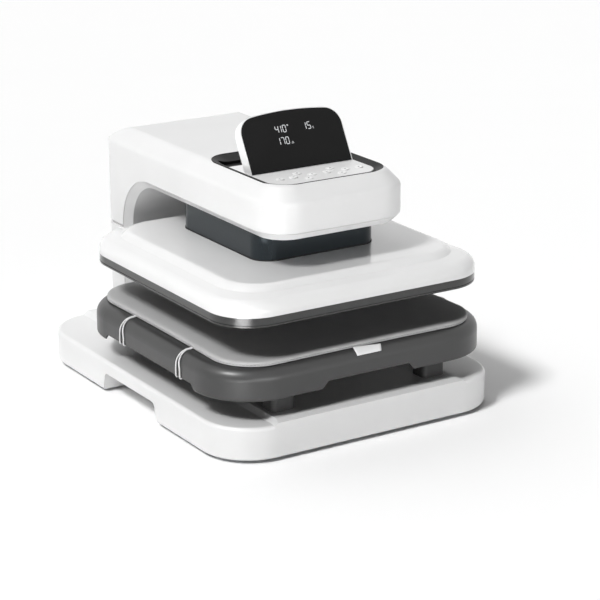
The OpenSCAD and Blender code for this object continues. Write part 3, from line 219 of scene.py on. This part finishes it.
seam_grey = cloth("seam_grey", grey(0.3), 0.0008, 0.4)
ink_grey = plastic("ink_grey", grey(0.07), 0.5, vary=0.05)
digit_light = glow("digit_light", [0.9, 0.92, 0.94], 0.8)

NODE_LOOKS = {
    satin_white: ["base_cover", "column_cover", "arm_cover", "arm_liner"],
    gloss_white: ["platen_cover"],
    panel_white: ["key_panel"],
    shell_white: ["display_shell"],
    key_white: ["key_%d" % n for n in range(1, 11)],
    charcoal: ["tray_shell"],
    rim_dark: ["platen_rim"],
    leg_black: ["tray_legs", "power_inlet", "switch_housing", "switch_rocker", "lift_motor", "top_switch",
                "thermal_cutout"],
    recess_black: ["recess_bezel"],
    slate: ["neck_shell"],
    window: ["display_glass"],
    rubber: ["rubber_feet", "neck_gasket"],
    ivory: ["screw_gear"],
    board_green: ["power_board", "control_board", "key_board", "display_board"],
    felt: ["insulation_board"],
    steel: ["base_screws", "column_frame", "frame_bolts", "arm_frame", "hinge_pins", "lead_screw", "guide_posts",
            "lift_bridge", "platen_studs", "heating_element"],
    zinc: ["base_plate", "motor_bracket", "platen_carrier"],
    brass: ["motor_pinion", "screw_bearing", "guide_sleeves", "lift_nut"],
    plate_coat: ["heat_plate"],
}
for look, names in NODE_LOOKS.items():
    for name in names:
        nodes[name].data.materials.clear()
        nodes[name].data.materials.append(look)


# Mesh helpers

def piece(name, verts, faces, look, body, slot=None, smooth=True):
    """A mesh piece that rides on a body."""
    mesh = bpy.data.meshes.new(name)
    mesh.from_pydata([tuple(v) for v in verts], [], faces)
    mesh.update()
    mesh.materials.append(look)
    for face in mesh.polygons:
        face.use_smooth = smooth
    obj = bpy.data.objects.new(name, mesh)
    scene.collection.objects.link(obj)
    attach(obj, body)
    return obj


def join_meshes(parts):
    """Several (verts, faces) lists as one."""
    verts, faces = [], []
    for part_verts, part_faces in parts:
        base = len(verts)
        verts += part_verts
        faces += [tuple(base + i for i in face) for face in part_faces]
    return verts, faces


def tube(path, radius, sides=12, closed=False, up=Z_AXIS):
    """A round tube along points, with flat ends unless it closes on itself."""
    count = len(path)
    verts, faces = [], []
    for i, point in enumerate(path):
        before = path[(i - 1) % count] if closed or i > 0 else point
        after = path[(i + 1) % count] if closed or i < count - 1 else point
        along = (after - before).normalized()
        side = along.cross(up)
        if side.length < 1e-4:
            side = along.cross(Y_AXIS)
        side.normalize()
        top = side.cross(along)
        for k in range(sides):
            a = 2 * math.pi * k / sides
            verts.append(point + radius * (side * math.cos(a) + top * math.sin(a)))
    for i in range(count if closed else count - 1):
        j = (i + 1) % count
        for k in range(sides):
            n = (k + 1) % sides
            faces.append((i * sides + k, i * sides + n, j * sides + n, j * sides + k))
    if not closed:
        faces.append(tuple(reversed(range(sides))))
        faces.append(tuple((count - 1) * sides + k for k in range(sides)))
    return verts, faces


def smooth_path(points, steps):
    """Catmull-Rom curve through points."""
    out = []
    last = len(points) - 1
    for i in range(last):
        p0, p1, p2, p3 = points[max(i - 1, 0)], points[i], points[i + 1], points[min(i + 2, last)]
        for s in range(steps):
            t = s / steps
            out.append(0.5 * ((2 * p1) + (p2 - p0) * t + (2 * p0 - 5 * p1 + 4 * p2 - p3) * t ** 2
                              + (3 * p1 - p0 - 3 * p2 + p3) * t ** 3))
    out.append(points[last])
    return out


# Pad

tray_low, tray_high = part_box("tray_shell")
pad_low, pad_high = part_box("pad")
PAD_CENTRE = (pad_low + pad_high) / 2
PAD_HALF = (pad_high - pad_low) / 2
PAD_R, PAD_LEAST_R = 58 * MM, 4 * MM
PAD_DRAW = 1.6 * MM                     # how far each side draws in between its corners
PAD_CROWN = 1.2 * MM
PAD_T = pad_high.z - pad_low.z - PAD_CROWN
ARC_STEPS, SIDE_STEPS = 20, 26
SEAM_H = 0.36                           # share of the thickness at which the seam lies
SEAM_INSET = 0.55 * MM
STITCH, STITCH_GAP = 3.2 * MM, 1.4 * MM
THREAD_R, THREAD_SWELL = 0.28 * MM, 0.12 * MM
# From the foot to the middle of the top: inset in millimetres and share of the thickness.
PAD_PROFILE = [(4.0, 0.0), (1.6, 0.02), (0.6, 0.07), (0.1, 0.14), (0.0, 0.22), (0.15, SEAM_H - 0.06),
               (0.75, SEAM_H - 0.012), (0.75, SEAM_H + 0.012), (0.1, SEAM_H + 0.06), (0.0, 0.5), (0.1, 0.62),
               (0.45, 0.74), (1.1, 0.84), (2.2, 0.92), (3.8, 0.97), (6.0, 0.99), (9.0, 1.0), (20.0, 1.0),
               (40.0, 1.0), (65.0, 1.0), (95.0, 1.0), (130.0, 1.0), (165.0, 1.0)]


def pad_ring(inset):
    """The pad's outline at an inset: round corners and sides that draw in between them."""
    radius = max(PAD_R - inset, PAD_LEAST_R)
    shrink = max(inset - PAD_R + PAD_LEAST_R, 0.0)
    cx, cy = PAD_HALF.x - PAD_R - shrink, PAD_HALF.y - PAD_R - shrink
    corners = []
    for q, (sx, sy) in enumerate(CORNER_SIGNS):
        arc = []
        for i in range(ARC_STEPS + 1):
            a = math.pi / 2 * (q + i / ARC_STEPS)
            arc.append(Vector((sx * cx + radius * math.cos(a), sy * cy + radius * math.sin(a))))
        corners.append(arc)
    ring = []
    for q in range(4):
        ring += corners[q]
        a, b = corners[q][-1], corners[(q + 1) % 4][0]
        out = Vector((b.y - a.y, a.x - b.x)).normalized()
        for j in range(1, SIDE_STEPS):
            f = j / SIDE_STEPS
            ring.append(a.lerp(b, f) - out * PAD_DRAW * math.sin(math.pi * f))
    return ring


def pad_crown(p):
    """How far the top swells at a point."""
    return PAD_CROWN * (1 - (p.x / PAD_HALF.x) ** 2) * (1 - (p.y / PAD_HALF.y) ** 2)


def pad_mesh():
    """The pad's closed skin: rings along the profile, and a fan at the foot and the top."""
    verts, faces = [], []
    count = len(pad_ring(0))
    for inset, share in PAD_PROFILE:
        for p in pad_ring(inset * MM):
            z = pad_low.z + share * (PAD_T + pad_crown(p))
            verts.append(Vector((p.x + PAD_CENTRE.x, p.y + PAD_CENTRE.y, z)))
    for k in range(len(PAD_PROFILE) - 1):
        for i in range(count):
            j = (i + 1) % count
            faces.append((k * count + i, k * count + j, (k + 1) * count + j, (k + 1) * count + i))
    low, top = len(verts), len(verts) + 1
    verts.append(Vector((PAD_CENTRE.x, PAD_CENTRE.y, pad_low.z)))
    verts.append(Vector((PAD_CENTRE.x, PAD_CENTRE.y, pad_low.z + PAD_T + PAD_CROWN)))
    last = (len(PAD_PROFILE) - 1) * count
    for i in range(count):
        j = (i + 1) % count
        faces.append((low, j, i))
        faces.append((top, last + i, last + j))
    return verts, faces


def pad_stitches():
    """Lock stitches that lie in the seam all round the pad."""
    seam_z = pad_low.z + SEAM_H * PAD_T
    ring = [Vector((p.x + PAD_CENTRE.x, p.y + PAD_CENTRE.y, seam_z)) for p in pad_ring(SEAM_INSET)]
    ring.append(ring[0])
    lengths = [0.0]
    for a, b in zip(ring, ring[1:]):
        lengths.append(lengths[-1] + (b - a).length)
    step = STITCH + STITCH_GAP
    parts, k = [], 0
    for n in range(int(lengths[-1] / step)):
        ends = []
        for s in (n * step, n * step + STITCH / 2, n * step + STITCH):
            while lengths[k + 1] < s and k < len(ring) - 2:
                k += 1
            f = (s - lengths[k]) / max(lengths[k + 1] - lengths[k], 1e-9)
            ends.append(ring[k].lerp(ring[k + 1], f))
        out = (ends[1] - PAD_CENTRE).normalized()
        ends[1] = ends[1] + Vector((out.x, out.y, 0)) * THREAD_SWELL
        parts.append(tube(ends, THREAD_R, 5))
    return join_meshes(parts)


pad = piece("pad_cushion", *pad_mesh(), pad_grey, "tray", "pad_cloth")
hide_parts("pad")
piece("pad_stitches", *pad_stitches(), seam_grey, "tray", "pad_cloth")


# Elastic loops

ELASTIC_R = 1.0 * MM
EDGE_R = 16 * MM                        # rounding of the tray's upper edge
LIE = 0.12 * MM                         # room between the tray and what lies on it
GRIP_H = 8.7 * MM                       # height of the grip notch's roof over the tray's foot
LOOP_Y = (18.8 * MM, -132.5 * MM)
LOOP_SPREAD = 9.7 * MM                  # distance between the strands at the notch
LOOP_PART = 0.3                         # share of the length after which the strands part
EDGE_STEPS, STRAND_STEPS = 8, 4
# From the tray's outer side and the notch's roof, in millimetres: down the side, under the roof and up inside.
LOOP_FOOT = ((0.0, 10.0), (0.0, 2.0), (-0.5, -0.5), (-2.3, -1.5), (-4.6, -0.6), (-5.3, 2.4))


def loop_strands(sign, y):
    """Both strands of a loop: from the pad's seam over the tray's edge, hooked under the grip notch."""
    reach = EDGE_R + ELASTIC_R + LIE
    centre_x, centre_z = tray_high.x - EDGE_R, tray_high.z - EDGE_R
    side = tray_high.x + ELASTIC_R + LIE
    foot = tray_low.z + GRIP_H
    down = [(pad_high.x - 1.2 * MM, pad_low.z + 1.6 * MM),
            (pad_high.x + 1.2 * MM, tray_high.z + ELASTIC_R + 2 * LIE)]
    for i in range(1, EDGE_STEPS + 1):
        a = math.radians(90 * (1 - i / EDGE_STEPS))
        down.append((centre_x + reach * math.cos(a), centre_z + reach * math.sin(a)))
    down += [(side + x * MM, foot + z * MM) for x, z in LOOP_FOOT]
    lengths = [0.0]
    for (x0, z0), (x1, z1) in zip(down, down[1:]):
        lengths.append(lengths[-1] + math.hypot(x1 - x0, z1 - z0))
    span = lengths[-len(LOOP_FOOT)]
    close, wide = 1.03 * ELASTIC_R, LOOP_SPREAD / 2
    strands = []
    for lean in (1, -1):
        pts = []
        for (x, z), length in zip(down, lengths):
            share = min(max(length / span - LOOP_PART, 0.0) / (1 - LOOP_PART), 1.0)
            pts.append(Vector((sign * x, y + lean * (close + (wide - close) * share), z)))
        strands.append(tube(smooth_path(pts, STRAND_STEPS), ELASTIC_R, up=Y_AXIS))
    return strands


strands = [s for sign in (-1, 1) for y in LOOP_Y for s in loop_strands(sign, y)]
cords = piece("elastic_cords", *join_meshes(strands), elastic_white, "tray", "elastic")
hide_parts("elastic_loops")


# Sewn tag

TAG_T = 0.5 * MM
TAG_GAP = 0.2 * MM
TAG_STEPS, TAG_COLUMNS = 16, 14
TAG_TOP = (-18.0 * MM, 23.5 * MM)       # left and right end at the seam
TAG_FOOT = (-17.4 * MM, 19.4 * MM)      # left and right end at the free edge
TAG_LEFT_TOP, TAG_TOP_DROP, TAG_FOOT_ANGLE = 77, 9, 32   # degrees on the tray's rounded edge
TAG_LIFT, TAG_WAVE, TAG_WAVES = 1.7 * MM, 0.14 * MM, 2.5


def tag_mesh():
    """Woven tag, sewn in the pad's seam, that lies over the tray's rounded front edge."""
    cy, cz = tray_low.y + EDGE_R, tray_high.z - EDGE_R
    rows = []
    for skin in (0, 1):
        for i in range(TAG_STEPS + 1):
            t = i / TAG_STEPS
            left = TAG_TOP[0] + (TAG_FOOT[0] - TAG_TOP[0]) * t
            right = TAG_TOP[1] + (TAG_FOOT[1] - TAG_TOP[1]) * t
            for c in range(TAG_COLUMNS + 1):
                f = c / TAG_COLUMNS
                top = TAG_LEFT_TOP - TAG_TOP_DROP * f
                a = math.radians(top + (TAG_FOOT_ANGLE - top) * t)
                lift = TAG_LIFT * (1 - f) * max(0.0, 1 - t / 0.5) ** 2
                lift += TAG_WAVE * math.sin(math.pi * TAG_WAVES * f) * t ** 2
                reach = EDGE_R + LIE + TAG_GAP + skin * TAG_T + lift
                rows.append(Vector((left + (right - left) * f, cy - reach * math.cos(a), cz + reach * math.sin(a))))
    wide = TAG_COLUMNS + 1
    offset = (TAG_STEPS + 1) * wide
    faces = []
    for i in range(TAG_STEPS):
        for c in range(TAG_COLUMNS):
            a = i * wide + c
            faces.append((a, a + 1, a + wide + 1, a + wide))
            faces.append((offset + a, offset + a + wide, offset + a + wide + 1, offset + a + 1))
    edge = list(range(wide)) + [i * wide + TAG_COLUMNS for i in range(1, TAG_STEPS + 1)]
    edge += [TAG_STEPS * wide + c for c in range(TAG_COLUMNS - 1, -1, -1)]
    edge += [i * wide for i in range(TAG_STEPS - 1, 0, -1)]
    for a, b in zip(edge, edge[1:] + edge[:1]):
        faces.append((b, a, offset + a, offset + b))
    return rows, faces


tag = piece("tag_cloth", *tag_mesh(), tag_white, "tray", "tag_cloth")
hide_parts("sewn_tag")


# Display figures and key marks; their outlines are in millimetres

DISPLAY_FOOT = Vector((0.0, -95.5 * MM, 322.8 * MM))
TILT = math.radians(29)
GLASS_UP = Vector((0, math.sin(TILT), math.cos(TILT)))
GLASS_OUT = Vector((0, -math.cos(TILT), math.sin(TILT)))
PRINT_T, PRINT_GAP = 0.06 * MM, 0.005 * MM
MARK_SINK, MARK_T = 0.26 * MM, 0.2 * MM
SEGMENTS = {"0": "abcdef", "1": "bc", "4": "fgbc", "5": "afgcd", "7": "abc"}
DIGIT_W, DIGIT_H, DIGIT_STROKE, DIGIT_GAP = 4.4, 9.2, 0.95, 0.12
UNIT_STROKE, MARK_STROKE = 0.4, 0.5
FIGURES = (("4", -25.4, 50.5), ("1", -21.1, 50.5), ("0", -14.0, 50.6), ("1", -27.4, 34.4), ("7", -20.8, 34.4),
           ("0", -13.8, 34.4), ("1", 17.0, 50.3), ("5", 24.0, 50.3))
UNIT_BARS = ((32.6, 52.6, 31.4, 52.6), (31.4, 52.7, 31.4, 51.5), (31.3, 51.4, 32.6, 51.4), (32.6, 51.5, 32.6, 50.3),
             (32.7, 50.2, 31.3, 50.2), (-6.2, 34.3, -2.9, 34.3), (-6.1, 34.3, -4.8, 36.9), (-3.0, 34.3, -4.3, 36.9))


def plate(outline, right, up, out, origin, thick=PRINT_T):
    """A thin printed shape from a flat outline in millimetres, counter-clockwise."""
    base = [origin + (right * x + up * y) * MM for x, y in outline]
    verts = [p + out * PRINT_GAP for p in base] + [p + out * thick for p in base]
    n = len(outline)
    faces = [tuple(reversed(range(n))), tuple(range(n, 2 * n))]
    faces += [(i, (i + 1) % n, n + (i + 1) % n, n + i) for i in range(n)]
    return verts, faces


def digit(char, x, y):
    """Seven-segment figure as bars with pointed ends, its left stroke at x and its foot at y."""
    w, h, half = DIGIT_W, DIGIT_H, DIGIT_H / 2
    bars = {"a": (0, h, w, h), "g": (0, half, w, half), "d": (0, 0, w, 0), "f": (0, half, 0, h),
            "b": (w, half, w, h), "e": (0, 0, 0, half), "c": (w, 0, w, half)}
    b, gap = DIGIT_STROKE / 2, DIGIT_GAP
    shapes = []
    for key in SEGMENTS[char]:
        x0, y0, x1, y1 = bars[key]
        if y0 == y1:
            pts = [(x0 + gap, y0), (x0 + gap + b, y0 - b), (x1 - gap - b, y0 - b), (x1 - gap, y0),
                   (x1 - gap - b, y0 + b), (x0 + gap + b, y0 + b)]
        else:
            pts = [(x0, y0 + gap), (x0 + b, y0 + gap + b), (x0 + b, y1 - gap - b), (x0, y1 - gap),
                   (x0 - b, y1 - gap - b), (x0 - b, y0 + gap + b)]
        shapes.append([(x + px, y + py) for px, py in pts])
    return shapes


def ring_shapes(cx, cy, r, t, start=0.0, sweep=360.0, steps=28):
    """A ring or part of one, as quads."""
    inner, outer = r - t / 2, r + t / 2
    shapes = []
    for i in range(steps):
        a, b = (math.radians(start + sweep * k / steps) for k in (i, i + 1))
        ends = ((inner, a), (outer, a), (outer, b), (inner, b))
        shapes.append([(cx + reach * math.cos(turn), cy + reach * math.sin(turn)) for reach, turn in ends])
    return shapes


def bar(x0, y0, x1, y1, t=MARK_STROKE):
    """A straight stroke between two points."""
    length = math.hypot(x1 - x0, y1 - y0)
    nx, ny = -(y1 - y0) / length * t / 2, (x1 - x0) / length * t / 2
    return [(x0 - nx, y0 - ny), (x1 - nx, y1 - ny), (x1 + nx, y1 + ny), (x0 + nx, y0 + ny)]


figures = [shape for char, left, low in FIGURES for shape in digit(char, left, low)]
figures += ring_shapes(-6.0, 59.2, 0.85, 0.55)
figures += [bar(*ends, UNIT_STROKE) for ends in UNIT_BARS]
piece("display_digits", *join_meshes([plate(s, X_AXIS, GLASS_UP, GLASS_OUT, DISPLAY_FOOT) for s in figures]),
      digit_light, "display", smooth=False)

UP_ARROW = [[(-1.5, -0.9), (1.5, -0.9), (0, 1.3)]]
DOWN_ARROW = [[(1.5, 0.9), (-1.5, 0.9), (0, -1.3)]]
MINUS = [bar(-1.6, 0, 1.6, 0)]
PLUS = MINUS + [bar(0, -1.6, 0, 1.6)]
POWER = ring_shapes(0, 0, 1.8, 0.45, 120, 300) + [bar(0, 0.3, 0, 2.4, 0.45)]
START = [[(-1.2, -1.7), (1.8, 0), (-1.2, 1.7)]]
KEY_MARKS = (POWER, MINUS, UP_ARROW, DOWN_ARROW, PLUS, MINUS, UP_ARROW, DOWN_ARROW, PLUS, START)
for n, shapes in enumerate(KEY_MARKS, 1):
    low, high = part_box("key_%d" % n)
    at = Vector(((low.x + high.x) / 2, (low.y + high.y) / 2, high.z - MARK_SINK))
    piece("key_mark_%d" % n, *join_meshes([plate(s, X_AXIS, Y_AXIS, Z_AXIS, at, MARK_T) for s in shapes]),
          ink_grey, "key_%d" % n, smooth=False)


# Bezel edge, with painted gap shade

bezel_low, bezel_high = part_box("recess_bezel")
BEAD_R, BEAD_SIDES, BEAD_STEPS = 0.5 * MM, 10, 18
BEAD_INSET, BEAD_SINK = 0.45 * MM, 0.1 * MM
BEZEL_R = 34 * MM


def bezel_bead_and_gap_shade():
    """The bezel's rolled black edge round the mouth of the recess; its black is partly the bezel's own and partly
    painted shade of the gap there.
    """
    centre, half = (bezel_low + bezel_high) / 2, (bezel_high - bezel_low) / 2
    reach, z = BEZEL_R - BEAD_INSET, bezel_high.z - BEAD_SINK
    path = []
    for q, (sx, sy) in enumerate(CORNER_SIGNS):
        cx, cy = centre.x + sx * (half.x - BEZEL_R), centre.y + sy * (half.y - BEZEL_R)
        for i in range(BEAD_STEPS + 1):
            a = math.pi / 2 * (q + i / BEAD_STEPS)
            path.append(Vector((cx + reach * math.cos(a), cy + reach * math.sin(a), z)))
    return tube(path, BEAD_R, BEAD_SIDES, closed=True)


# A dark bead round the recess mouth: the bezel's black lip, and painted shade of the gap round the key panel.
piece("bezel_bead_and_gap_shade", *bezel_bead_and_gap_shade(), recess_black, "frame", "black_plastic")


# Stage, light and camera

FLOOR_HALF = 40.0
SKY, SKY_FOCUS, SKY_WAY = 1.7, 5.0, Vector((-0.2, 0.5, 0.84)).normalized()
KEY_AZ, KEY_EL, KEY_SPREAD, KEY_POWER = math.radians(12), math.radians(53), math.radians(13), 2.25
SPOT_X, SPOT_Y, SPOT_Z, SPOT_POWER = -0.67, -0.68, 1.8, 1500.0
FILL_AT, FILL_AIM, FILL_POWER = (-0.2, -3.2, 0.3), (0, 0, 0.2), 26.0
CAMERA_AT = Vector((-1.4410, -2.3417, 1.0084))
CAMERA_AZ, CAMERA_EL = math.radians(32.6), math.radians(18.0)
SENSOR, FOCAL_PIXELS, PICTURE_PIXELS = 36.0, 2110.2, 600


def studio_floor():
    """A plain white floor, wide enough to fill the picture."""
    mesh = bpy.data.meshes.new("floor")
    s = FLOOR_HALF
    mesh.from_pydata([(-s, -s, 0), (s, -s, 0), (s, s, 0), (-s, s, 0)], [], [(0, 1, 2, 3)])
    obj = bpy.data.objects.new("floor", mesh)
    scene.collection.objects.link(obj)
    mat, _, bsdf = shader("floor_white")
    bsdf.inputs["Base Color"].default_value = WHITE
    bsdf.inputs["Roughness"].default_value = 0.9
    bsdf.inputs["Specular IOR Level"].default_value = 0.0
    mesh.materials.append(mat)


def stepped(tree, operation, first, second):
    """A math node on an output and a second output or number."""
    node = add(tree, "ShaderNodeMath", operation=operation)
    tree.links.new(first, node.inputs[0])
    if isinstance(second, float):
        node.inputs[1].default_value = second
    else:
        tree.links.new(second, node.inputs[1])
    return node.outputs[0]


def studio_world():
    """White to the camera, mirrors and glass; for other rays a soft light from above and behind."""
    world = bpy.data.worlds.new("studio")
    scene.world = world
    world.use_nodes = True
    tree = world.node_tree
    tree.nodes.clear()
    way = add(tree, "ShaderNodeTexCoord")
    towards = add(tree, "ShaderNodeVectorMath", operation="DOT_PRODUCT")
    tree.links.new(way.outputs["Generated"], towards.inputs[0])
    towards.inputs[1].default_value = SKY_WAY
    sky = stepped(tree, "MAXIMUM", towards.outputs["Value"], 0.0)
    sky = stepped(tree, "MULTIPLY", stepped(tree, "POWER", sky, SKY_FOCUS), SKY)
    ambient = add(tree, "ShaderNodeBackground", Color=WHITE)
    tree.links.new(sky, ambient.inputs["Strength"])
    seen = add(tree, "ShaderNodeBackground", Color=WHITE, Strength=1.0)
    rays = add(tree, "ShaderNodeLightPath").outputs
    direct = stepped(tree, "MAXIMUM", rays["Is Camera Ray"], rays["Is Glossy Ray"])
    direct = stepped(tree, "MAXIMUM", direct, rays["Is Transmission Ray"])
    mix = add(tree, "ShaderNodeMixShader")
    tree.links.new(direct, mix.inputs["Fac"])
    tree.links.new(ambient.outputs[0], mix.inputs[1])
    tree.links.new(seen.outputs[0], mix.inputs[2])
    out = add(tree, "ShaderNodeOutputWorld")
    tree.links.new(mix.outputs[0], out.inputs["Surface"])


def aimed(name, data, place, line):
    """A lamp or camera at a place, looking along a line."""
    obj = bpy.data.objects.new(name, data)
    scene.collection.objects.link(obj)
    obj.location = place
    obj.rotation_mode = "QUATERNION"
    obj.rotation_quaternion = line.to_track_quat("-Z", "Y")
    return obj


def lamp(name, kind, place, aim, energy, **values):
    """A lamp at a place that shines at a point."""
    data = bpy.data.lights.new(name, kind)
    data.energy = energy
    for key, value in values.items():
        setattr(data, key, value)
    aimed(name, data, place, Vector(aim) - Vector(place))


def bearing(azimuth, elevation):
    """The direction at an azimuth from the Y axis towards X, and at an elevation."""
    flat = math.cos(elevation)
    return Vector((math.sin(azimuth) * flat, math.cos(azimuth) * flat, math.sin(elevation)))


scene.view_settings.view_transform = "Standard"
studio_floor()
studio_world()
key_from = bearing(-math.pi / 2 - KEY_AZ, KEY_EL)
lamp("key", "SUN", key_from * 3, (0, 0, 0), KEY_POWER, angle=KEY_SPREAD)
# A bright patch of floor in front on the left, which the neck's and the rim's corners mirror.
lamp("floor_spot", "SPOT", (SPOT_X, SPOT_Y, SPOT_Z), (SPOT_X, SPOT_Y, 0.0), SPOT_POWER, spot_size=math.radians(17),
     spot_blend=0.6, shadow_soft_size=0.08)
lamp("front_fill", "AREA", FILL_AT, FILL_AIM, FILL_POWER, shape="RECTANGLE", size=2.4, size_y=0.5)

camera = bpy.data.cameras.new("camera")
camera.sensor_width = SENSOR
camera.lens = SENSOR * FOCAL_PIXELS / PICTURE_PIXELS
camera.clip_end = 200.0
scene.camera = aimed("camera", camera, CAMERA_AT, bearing(CAMERA_AZ, -CAMERA_EL))
